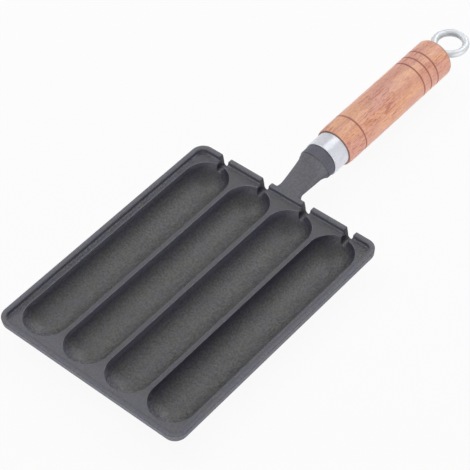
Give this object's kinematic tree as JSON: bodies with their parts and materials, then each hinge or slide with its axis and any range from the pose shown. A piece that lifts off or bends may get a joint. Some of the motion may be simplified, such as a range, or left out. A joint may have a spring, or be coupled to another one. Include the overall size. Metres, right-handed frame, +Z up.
{
  "type": "sausage grill pan",
  "caption": "Cast-iron pan with parallel round-bottomed troughs for sausages, a notch for a stick behind each, and a turned wooden grip with a hanging ring.",
  "frame": {"origin": "Middle of the overall width and length, at the table under the trough feet", "axes": "+Y runs along the troughs from the front edge to the hanging ring, +Z is up, out of the troughs, and +X is to the right of someone at the front edge who looks along +Y"},
  "size_m": [0.17, 0.4312, 0.0396],
  "materials": {
    "cast_iron": "sand-cast, oiled, dark grey",
    "zinc_plate": "smooth zinc plate",
    "wood": "turned, waxed, with scorched grooves",
    "washer_plate": "zinc plate",
    "bright_zinc": "bright zinc plate"
  },
  "bodies": {
    "pan": {"pan_casting": "cast_iron", "ferrule": "zinc_plate", "wooden_grip": "wood"},
    "washer": {"end_washer": "washer_plate"},
    "eye_bolt": {"eye_bolt": "bright_zinc"}
  },
  "joints": [
    {"name": "eye_bolt_travel", "type": "slide", "parent": "pan", "child": "washer", "axis": [0, 1, 0], "range_m": [0, 0.01]},
    {"name": "eye_bolt_turn", "type": "hinge", "parent": "washer", "child": "eye_bolt", "pos_m": [0, 0.20035, 0.02335], "axis": [0, 1, 0], "range_deg": [0, 3600]}
  ],
  "couplings": [
    {"joint": "eye_bolt_turn", "follows": "eye_bolt_travel", "rad_per_m": 6283.2}
  ]
}
